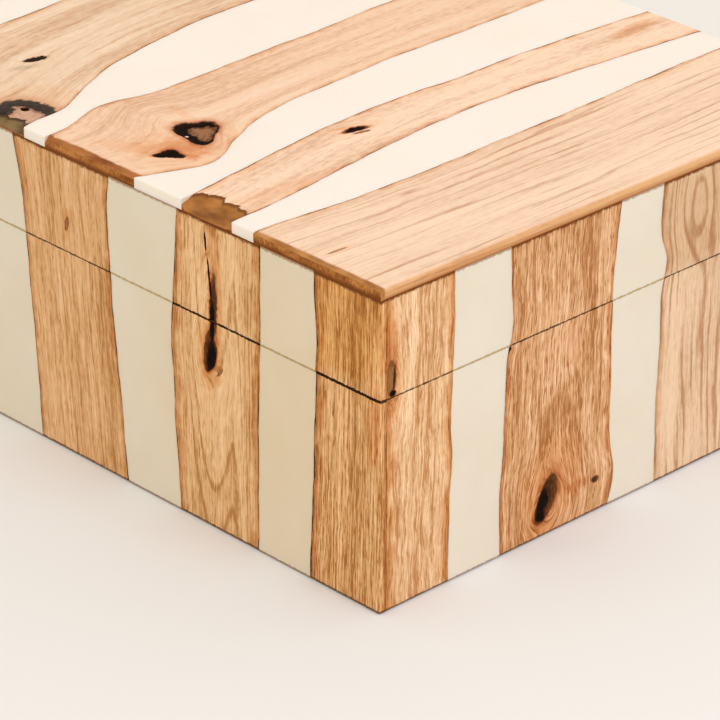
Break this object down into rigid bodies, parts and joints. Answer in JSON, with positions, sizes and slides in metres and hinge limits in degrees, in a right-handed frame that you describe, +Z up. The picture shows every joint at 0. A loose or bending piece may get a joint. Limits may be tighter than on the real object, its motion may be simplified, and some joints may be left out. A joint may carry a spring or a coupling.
{
  "type": "inlaid wooden box",
  "caption": "Rectangular hinged keepsake box clad in alternating live-edge wood and ivory resin strips, with a lid that opens to the back.",
  "frame": {"origin": "middle of the underside of the base, on the surface that the box stands on", "axes": "+Z up; the long front faces -Y; the hinges are at the back, +Y; +X is the right end seen from the front"},
  "size_m": [0.3, 0.2037, 0.1013],
  "materials": {
    "strip_wood": "light tan hardwood with brown knots and pores, sanded and waxed, thin dark line along each live edge",
    "ivory_resin": "ivory cast resin, sanded smooth to a soft sheen, slightly translucent",
    "carcass_board": "brown stained board, smooth inside",
    "hinge_brass": "brushed yellow brass",
    "underside_felt": "dark brown felt"
  },
  "bodies": {
    "base": {"back_base_sheet": "strip_wood", "base_carcass": "carcass_board", "base_felt": "underside_felt", "front_base_resin_1": "ivory_resin", "front_base_resin_2": "ivory_resin", "front_base_resin_3": "ivory_resin", "front_base_resin_4": "ivory_resin", "front_base_wood_1": "strip_wood", "front_base_wood_2": "strip_wood", "front_base_wood_3": "strip_wood", "front_base_wood_4": "strip_wood", "front_base_wood_5": "strip_wood", "left_base_sheet": "strip_wood", "left_hinge_base_leaf": "hinge_brass", "left_hinge_base_screw_1": "hinge_brass", "left_hinge_base_screw_2": "hinge_brass", "left_hinge_pin": "hinge_brass", "right_base_resin_1": "ivory_resin", "right_base_resin_2": "ivory_resin", "right_base_resin_3": "ivory_resin", "right_base_wood_1": "strip_wood", "right_base_wood_2": "strip_wood", "right_base_wood_3": "strip_wood", "right_hinge_base_leaf": "hinge_brass", "right_hinge_base_screw_1": "hinge_brass", "right_hinge_base_screw_2": "hinge_brass", "right_hinge_pin": "hinge_brass"},
    "lid": {"back_lid_sheet": "strip_wood", "front_lid_resin_1": "ivory_resin", "front_lid_resin_2": "ivory_resin", "front_lid_resin_3": "ivory_resin", "front_lid_resin_4": "ivory_resin", "front_lid_wood_1": "strip_wood", "front_lid_wood_2": "strip_wood", "front_lid_wood_3": "strip_wood", "front_lid_wood_4": "strip_wood", "front_lid_wood_5": "strip_wood", "left_hinge_lid_leaf": "hinge_brass", "left_hinge_lid_screw_1": "hinge_brass", "left_hinge_lid_screw_2": "hinge_brass", "left_lid_sheet": "strip_wood", "lid_carcass": "carcass_board", "right_hinge_lid_leaf": "hinge_brass", "right_hinge_lid_screw_1": "hinge_brass", "right_hinge_lid_screw_2": "hinge_brass", "right_lid_resin_1": "ivory_resin", "right_lid_resin_2": "ivory_resin", "right_lid_resin_3": "ivory_resin", "right_lid_wood_1": "strip_wood", "right_lid_wood_2": "strip_wood", "right_lid_wood_3": "strip_wood", "top_resin_1": "ivory_resin", "top_resin_2": "ivory_resin", "top_resin_3": "ivory_resin", "top_resin_4": "ivory_resin", "top_wood_1": "strip_wood", "top_wood_2": "strip_wood", "top_wood_3": "strip_wood", "top_wood_4": "strip_wood", "top_wood_5": "strip_wood"}
  },
  "joints": [
    {"name": "lid_hinge", "type": "hinge", "parent": "base", "child": "lid", "pos_m": [0, 0.1019, 0.0672], "axis": [-1, 0, 0], "range_deg": [0, 100]}
  ]
}
